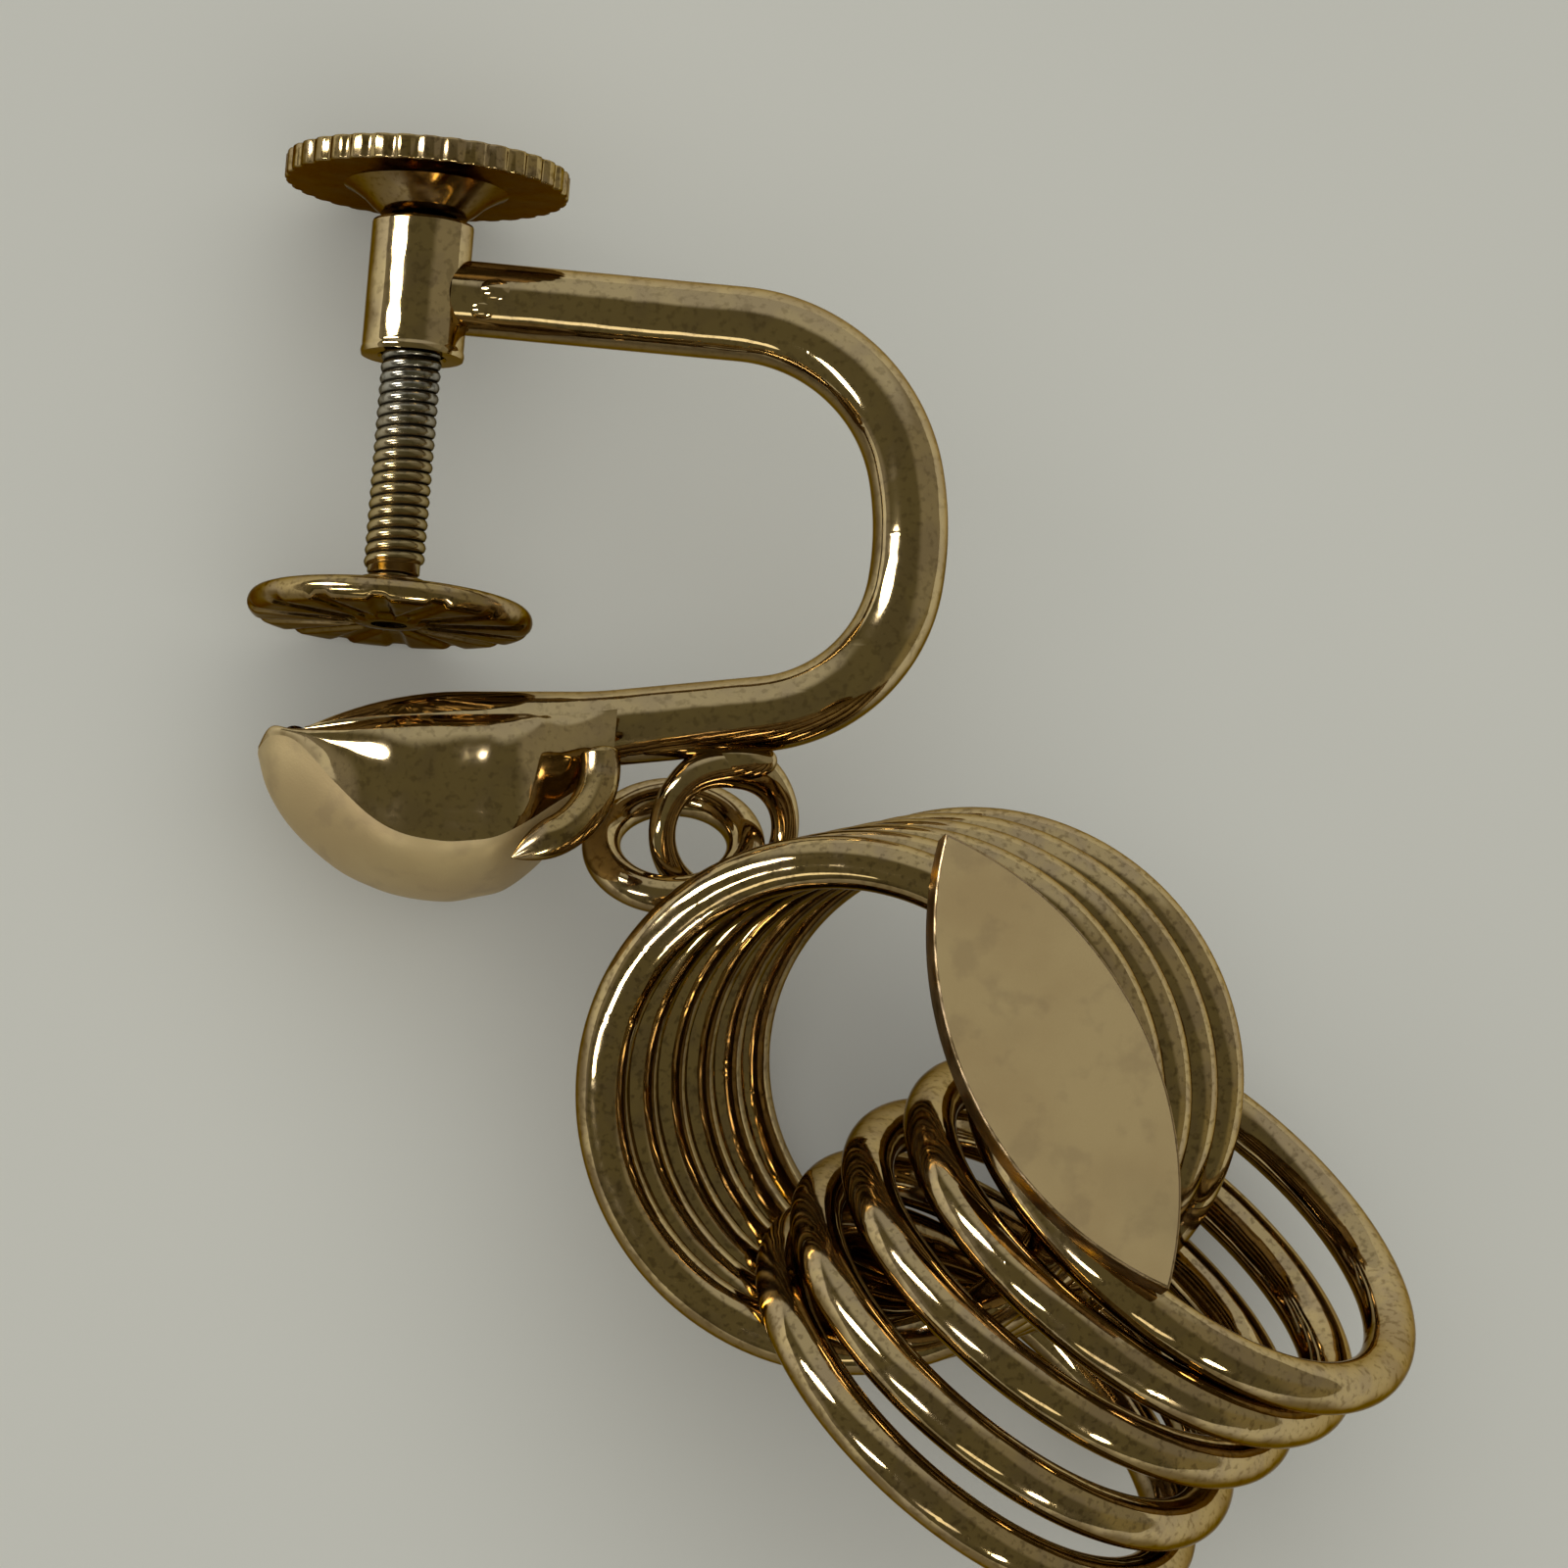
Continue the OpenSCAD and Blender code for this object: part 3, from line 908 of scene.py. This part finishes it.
class EARRING_OT_front_leaf(bpy.types.Operator):
    """Forms the hollow leaf from one sheet: polished sides folded round a satin front"""

    bl_idname = "earring.front_leaf"
    bl_label = "Front leaf"

    def execute(self, context):
        sizes = context.scene.earring_clamp
        scale = in_mm(sizes.leaf_width) / 2 / LEAF_FULL_HALF
        rows = (len(LEAF_ROWS) - 1) * ROW_STEPS
        sections = []
        for i in range(rows + 1):
            row = leaf_row(i / ROW_STEPS)
            sections.append([(row[0], y, z) for y, z in leaf_section(row, scale)])
        across = len(sections[0]) - 1
        shape = bmesh.new()
        bmesh.ops.create_grid(shape, x_segments=rows, y_segments=across, size=0.5)
        # A side has three parts, so this many columns lie before and after the front.
        fold_low, fold_high = 3 * SIDE_STEPS, across - 3 * SIDE_STEPS
        spots = {
            vert: (round((vert.co.x + 0.5) * rows), round((vert.co.y + 0.5) * across))
            for vert in shape.verts
        }
        for vert, (i, j) in spots.items():
            vert.co = sections[i][j]
        for face in shape.faces:
            middle = sum(spots[vert][1] for vert in face.verts) / 4
            face.material_index = 0 if fold_low < middle < fold_high else 1
        tip = sorted((j, vert) for vert, (i, j) in spots.items() if i == 0)
        cap = shape.faces.new([vert for _, vert in tip])
        cap.material_index = 1
        folds = []
        for edge in shape.edges:
            a, b = (spots[vert][1] for vert in edge.verts)
            if a == b and a in (fold_low, fold_high):
                folds.append(edge)
        bmesh.ops.recalc_face_normals(shape, faces=shape.faces)
        foremost = min(shape.faces, key=lambda face: face.calc_center_median().y)
        if foremost.normal.y > 0:
            bmesh.ops.reverse_faces(shape, faces=shape.faces)
        soften(shape, folds, FOLD_BEVEL, 2)
        bmesh.ops.solidify(shape, geom=shape.faces[:], thickness=in_mm(sizes.leaf_wall))
        finishes = (satin_gold(), polished_gold())
        finish_piece("front_leaf", shape, CLAMP, finishes, "ear_clamp", 38)
        return {"FINISHED"}


class EARRING_OT_leaf_stem(bpy.types.Operator):
    """Curls the stem from beside the lower arm over the leaf's front edge"""

    bl_idname = "earring.leaf_stem"
    bl_label = "Leaf stem"

    def execute(self, context):
        radius = in_mm(context.scene.earring_clamp.stem) / 2

        def spoke(degrees):
            a = math.radians(degrees)
            return Vector((math.cos(a), math.sin(a), 0))

        def ahead(degrees):
            a = math.radians(degrees)
            return Vector((math.sin(a), -math.cos(a), 0))

        start = spoke(STEM_BEGIN) * STEM_CURL
        leaning = turn(STEM_LEAN_AXIS, "Z") @ turn(STEM_LEAN, "Y") @ turn(-STEM_LEAN_AXIS, "Z")
        place = CLAMP @ at(*STEM_CENTRE) @ at(*start) @ leaning @ at(*(-start))
        shape = bmesh.new()
        first = hoop(shape, radius, turn(STEM_BEGIN, "Z") @ at(STEM_CURL, 0) @ turn(90, "X"))
        rim = swing(shape, first, (0, 0, 0), -STEM_SWEEP, 48)
        end = STEM_BEGIN - STEM_SWEEP
        taper(shape, rim, spoke(end) * STEM_CURL, ahead(end), STEM_POINT)
        taper(shape, first, start, -ahead(STEM_BEGIN), STEM_ROOT, 6)
        tidy(shape)
        finish_piece("leaf_stem", shape, place, (disc_gold(),), "ear_clamp")
        return {"FINISHED"}


class EARRING_OT_clamp_screw(bpy.types.Operator):
    """Cuts the screw: a true helical thread on its rod, and the pin that turns in the pad"""

    bl_idname = "earring.clamp_screw"
    bl_label = "Clamp screw"

    def execute(self, context):
        sizes = context.scene.earring_clamp
        crest, pitch = in_mm(sizes.screw) / 2, in_mm(sizes.pitch)
        root = crest - in_mm(sizes.thread_depth)
        shape = bmesh.new()
        low, high = SCREW_LOW + 0.06, HUB_LOW - 0.05
        turns = int((high - low) / pitch)
        half_way = root + 0.6 * (crest - root)
        profile = (
            (root, 0.0),
            (half_way, 0.14),
            (crest - 0.01, 0.32),
            (crest, 0.5),
            (crest - 0.01, 0.68),
            (half_way, 0.86),
            (root, 1.0),
        )
        verts = [shape.verts.new((r, 0, low + share * pitch)) for r, share in profile]
        spin(
            shape,
            verts + line_of(verts, shape),
            (0, 0, 0),
            math.tau * (turns - 1),
            THREAD_STEPS * (turns - 1),
            rise=pitch / THREAD_STEPS,
        )
        bmesh.ops.remove_doubles(shape, verts=shape.verts, dist=SAME_POINT)
        ends = [edge for edge in shape.edges if edge.is_boundary]
        bmesh.ops.holes_fill(shape, edges=ends, sides=0)
        bmesh.ops.transform(shape, matrix=turn(THREAD_TURN, "Z"), verts=shape.verts)
        rod = (
            (0.0, SCREW_LOW),
            (root - 0.04, SCREW_LOW),
            (root - 0.005, SCREW_LOW + 0.03),
            (root - 0.005, -0.07),
            (root - 0.04, -0.04),
            (0.0, -0.04),
        )
        pin = (
            (0.0, PIN_LOW),
            (PIN_R - 0.04, PIN_LOW),
            (PIN_R, PIN_LOW + 0.04),
            (PIN_R, SCREW_LOW + 0.1),
            (0.0, SCREW_LOW + 0.1),
        )
        spun(shape, rod, 48, closed=False)
        spun(shape, pin, 32, closed=False)
        tidy(shape)
        finish_piece(
            "clamp_screw", shape, SCREW_AXIS, (screw_steel(),), "screw", 50
        )
        return {"FINISHED"}


class EARRING_OT_thumb_disc(bpy.types.Operator):
    """Cuts the thumb disc with its notched rim and cone-shaped hub"""

    bl_idname = "earring.thumb_disc"
    bl_label = "Thumb disc"

    def execute(self, context):
        sizes = context.scene.earring_clamp
        radius, thick = in_mm(sizes.thumb) / 2, in_mm(sizes.thumb_rim)
        shape = bmesh.new()
        bmesh.ops.create_circle(
            shape,
            cap_ends=True,
            segments=sizes.notches * 10,
            radius=radius,
            matrix=at(0, 0, thick / 2),
        )
        period = math.tau / sizes.notches
        for vert in shape.verts:
            angle = math.atan2(vert.co.y, vert.co.x)
            off = (angle / period + 0.5) % 1 - 0.5
            side = abs(off) * period * radius
            cut = max(0.0, math.sqrt(max(0.0, NOTCH_CUTTER**2 - side**2)) - NOTCH_SET_OUT)
            vert.co.xy *= (radius - cut) / radius
        slab(shape, shape.faces[:][0], thick, DISC_BEVEL)
        low = -thick / 2
        spun(
            shape,
            (
                (0.59, low + 0.1),
                (1.5, low + 0.1),
                (1.5, low),
                (1.32, low - 0.09),
                (1.1, low - 0.24),
                (0.93, low - 0.4),
                (0.84, HUB_LOW + 0.03),
                (0.8, HUB_LOW),
                (0.62, HUB_LOW),
                (0.59, HUB_LOW + 0.03),
            ),
        )
        bmesh.ops.recalc_face_normals(shape, faces=shape.faces)
        finish_piece("thumb_disc", shape, SCREW_AXIS, (disc_gold(),), "screw")
        return {"FINISHED"}


class EARRING_OT_ear_pad(bpy.types.Operator):
    """Turns the ear pad with its rounded rim and collar, and presses the grooves in its face"""

    bl_idname = "earring.ear_pad"
    bl_label = "Ear pad"

    def execute(self, context):
        sizes = context.scene.earring_clamp
        radius, thick = in_mm(sizes.pad) / 2, in_mm(sizes.pad_rim)
        low, half = PAD_TOP - thick, thick / 2
        rim = [
            (radius - half + half * math.cos(a), low + half + half * math.sin(a))
            for a in (math.pi * (k / 12 - 0.5) for k in range(13))
        ]
        face = [(SOCKET_R + (radius - half - SOCKET_R) * k / 16, low) for k in range(16)]
        collar = [
            (1.1, PAD_TOP),
            (0.86, PAD_TOP + 0.03),
            (0.76, PAD_TOP + 0.1),
            (0.63, COLLAR_TOP - 0.08),
            (0.58, COLLAR_TOP - 0.01),
            (0.54, COLLAR_TOP),
            (SOCKET_R, COLLAR_TOP),
        ]
        shape = bmesh.new()
        spun(shape, face + rim + collar, sizes.grooves * 18)
        tidy(shape)
        period = math.tau / sizes.grooves
        for vert in shape.verts:
            r = vert.co.xy.length
            if vert.co.z > low + half or r < GROOVE_INNER - 0.15:
                continue
            off = (math.atan2(vert.co.y, vert.co.x) / period) % 1 - 0.5
            side = abs(off) * period * r
            pressed = min(1.0, max(0.0, (GROOVE_HALF * 1.35 - side) / (GROOVE_HALF * 0.7)))
            pressed *= min(1.0, max(0.0, (r - GROOVE_INNER + 0.15) / 0.15))
            fade = 1 - min(1.0, max(0.0, (vert.co.z - low) / half))
            vert.co.z += GROOVE_DEPTH * pressed * pressed * (3 - 2 * pressed) * fade
        finish_piece("ear_pad", shape, SCREW_AXIS, (disc_gold(),), "pad", 50)
        return {"FINISHED"}


class EARRING_OT_pendant_ring(bpy.types.Operator):
    """Closes the ring that joins the pendant to the clamp"""

    bl_idname = "earring.pendant_ring"
    bl_label = "Pendant ring"

    def execute(self, context):
        sizes = context.scene.earring_pendant
        shape = bmesh.new()
        radius, wire = in_mm(sizes.link_radius), in_mm(sizes.link_wire)
        ring_shape(shape, radius, wire, set_ring(*LINK_PLACE), 112, 32)
        tidy(shape)
        finish_piece("pendant_ring", shape, PENDANT, (ring_gold(),), "ear_clamp")
        return {"FINISHED"}


def coil_ring(name, place):
    sizes = bpy.context.scene.earring_pendant
    shape = bmesh.new()
    ring_shape(shape, in_mm(sizes.radius), in_mm(sizes.wire), place)
    tidy(shape)
    finish_piece(name, shape, PENDANT, (ring_gold(),), "ear_clamp")


class EARRING_OT_coil_a(bpy.types.Operator):
    """Lays the six rings of the upper coil"""

    bl_idname = "earring.coil_a"
    bl_label = "Upper coil"

    def execute(self, context):
        for i in range(COIL_A_COUNT):
            coil_ring(f"coil_a_{i + 1}", set_ring(COIL_A_FIRST + i * COIL_A_STEP, *COIL_A_SET))
        return {"FINISHED"}


class EARRING_OT_coil_b(bpy.types.Operator):
    """Fans the five rings of the lower coil"""

    bl_idname = "earring.coil_b"
    bl_label = "Lower coil"

    def execute(self, context):
        for i, (*centre, tilt, turned) in enumerate(COIL_B):
            coil_ring(f"coil_b_{i + 1}", set_ring(centre, tilt, turned))
        return {"FINISHED"}


class EARRING_OT_leaf_plate(bpy.types.Operator):
    """Cuts the flat pointed plate, satin on its face and browned at its edge"""

    bl_idname = "earring.leaf_plate"
    bl_label = "Leaf plate"

    def execute(self, context):
        sizes = context.scene.earring_pendant
        long, half = in_mm(sizes.plate_length) / 2, in_mm(sizes.plate_width) / 2
        thick = in_mm(sizes.plate_thickness)
        curve = (long * long + half * half) / (2 * half)
        sweep = 2 * math.degrees(math.asin(long / curve))
        shape = bmesh.new()
        point = shape.verts.new((-long, 0, 0))
        for centre in (half - curve, curve - half):
            end = spin(shape, [point], (0, centre, 0), math.radians(-sweep), PLATE_ARC_STEPS)
            point = verts_of(end)[0]
        bmesh.ops.remove_doubles(shape, verts=shape.verts, dist=SAME_POINT)
        face = bmesh.ops.edgeloop_fill(shape, edges=shape.edges[:])["faces"][0]
        slab(shape, face, thick, PLATE_BEVEL)
        for f in shape.faces:
            f.material_index = 0 if len(f.verts) > MOST_CORNERS and f.normal.z > 0.9 else 1
        finishes = (satin_gold(), edge_gold())
        finish_piece("leaf_plate", shape, PLATE_PLACE, finishes, "ear_clamp", 30)
        return {"FINISHED"}


# Studio


def facing_matrix(place, aim, up):
    back = (place - aim).normalized()
    right = up.cross(back).normalized()
    turned = Matrix((right, back.cross(right), back)).transposed().to_4x4()
    return Matrix.Translation(place) @ turned


def picture_way(around, out):
    """A direction out degrees from the camera's and around degrees from the picture's right."""
    right, up, toward = picture_axes()
    a, b = math.radians(around), math.radians(out)
    return (right * math.cos(a) + up * math.sin(a)) * math.sin(b) + toward * math.cos(b)


def soft_light(name, way, distance, size, roll, brightness, tint, mirrored=True, casting=True):
    """A panel that shines at the earring; brightness is what a mirror would show."""
    data = bpy.data.lights.new(name, "AREA")
    data.shape = "ELLIPSE"
    data.size, data.size_y = size
    data.energy = brightness * math.pi * math.pi / 4 * size[0] * size[1]
    data.color = tint
    light = bpy.data.objects.new(name, data)
    place = facing_matrix(CAMERA_AIM * MM + way * distance, CAMERA_AIM * MM, picture_axes()[1])
    light.matrix_world = place @ turn(roll, "Z")
    light.visible_glossy = mirrored
    light.visible_diffuse = casting
    bpy.context.scene.collection.objects.link(light)


class EARRING_OT_studio(bpy.types.Operator):
    """Sets the pale floor, the soft lights, the room and the camera"""

    bl_idname = "earring.studio"
    bl_label = "Studio"

    def execute(self, context):
        settings = context.scene.earring_studio
        scene = context.scene
        scene.view_settings.view_transform = "Standard"
        shape = bmesh.new()
        bmesh.ops.create_grid(shape, x_segments=2, y_segments=2, size=FLOOR_HALF)
        mesh = bpy.data.meshes.new("floor")
        shape.to_mesh(mesh)
        shape.free()
        floor = bpy.data.objects.new("floor", mesh)
        scene.collection.objects.link(floor)
        material, tree, shader, place = new_material("pale_floor")
        patches = ramp_value(tree, noise(tree, place, 60.0, 2.0), 0.3, 0.7)
        pale, dimmer = opaque(settings.floor), opaque([part * 0.97 for part in settings.floor])
        feed(
            tree,
            shader,
            (
                ("Base Color", mix_colours(tree, patches, pale, dimmer)),
                ("Roughness", FLOOR_ROUGHNESS),
                ("Emission Color", pale),
                ("Emission Strength", FLOOR_GLOW),
            ),
        )
        mesh.materials.append(material)

        world = bpy.data.worlds.new("room")
        scene.world = world
        world.use_nodes = True
        tree = world.node_tree
        way = tree.nodes.new("ShaderNodeTexCoord").outputs["Generated"]
        tone = opaque([settings.room * part for part in ROOM_TONE])
        for around, out, low, high, side_tone in ROOM_SIDES:
            dot = facing_share(tree, way, tuple(picture_way(around, out)))
            side = ramp_value(tree, dot, low, high)
            tone = mix_colours(
                tree, side, tone, opaque([settings.room * part for part in side_tone])
            )
        tree.links.new(tone, tree.nodes["Background"].inputs["Color"])

        for name, around, out, size, roll, lamp, share, tint in LAMPS:
            shine = getattr(settings, lamp) * share
            way = picture_way(around, out)
            soft_light(name, way, LAMP_DISTANCE, size, roll, shine, tint, casting=False)
        size = (SOFTBOX_SIZE, SOFTBOX_SIZE)
        above = Vector((0, 0, 1))
        soft_light(
            "softbox", above, SOFTBOX_HEIGHT, size, 0, settings.soft, SOFTBOX_TINT, mirrored=False
        )

        data = bpy.data.cameras.new("camera")
        data.sensor_width = 36.0
        data.lens = LENS
        data.clip_start = 0.01
        data.clip_end = 10.0
        camera = bpy.data.objects.new("camera", data)
        camera.matrix_world = facing_matrix(CAMERA_AT * MM, CAMERA_AIM * MM, PICTURE_UP)
        scene.collection.objects.link(camera)
        scene.camera = camera
        return {"FINISHED"}


class EARRING_PT_panel(bpy.types.Panel):
    """Sizes, colours and steps of the earring"""

    bl_label = "Dangle earring"
    bl_idname = "EARRING_PT_panel"
    bl_space_type = "VIEW_3D"
    bl_region_type = "UI"
    bl_category = "Earring"

    def draw(self, context):
        for name in SETTINGS:
            box = self.layout.box()
            settings = getattr(context.scene, name)
            for key in settings.__annotations__:
                box.prop(settings, key)
        for operator in OPERATORS:
            self.layout.operator(operator.bl_idname)


SETTINGS = {
    "earring_clamp": ClampSizes,
    "earring_pendant": PendantSizes,
    "earring_metals": MetalColours,
    "earring_studio": StudioSettings,
}

OPERATORS = (
    EARRING_OT_ear_wire,
    EARRING_OT_front_leaf,
    EARRING_OT_leaf_stem,
    EARRING_OT_clamp_screw,
    EARRING_OT_thumb_disc,
    EARRING_OT_ear_pad,
    EARRING_OT_pendant_ring,
    EARRING_OT_coil_a,
    EARRING_OT_coil_b,
    EARRING_OT_leaf_plate,
    EARRING_OT_studio,
)

CLASSES = (*SETTINGS.values(), *OPERATORS, EARRING_PT_panel)


def register():
    for entry in CLASSES:
        bpy.utils.register_class(entry)
    for name, kind in SETTINGS.items():
        setattr(bpy.types.Scene, name, bpy.props.PointerProperty(type=kind))


def unregister():
    for name in SETTINGS:
        delattr(bpy.types.Scene, name)
    for entry in reversed(CLASSES):
        bpy.utils.unregister_class(entry)


def main():
    register()
    for operator in OPERATORS:
        getattr(bpy.ops.earring, operator.bl_idname.removeprefix("earring."))()


if __name__ == "__main__":
    main()
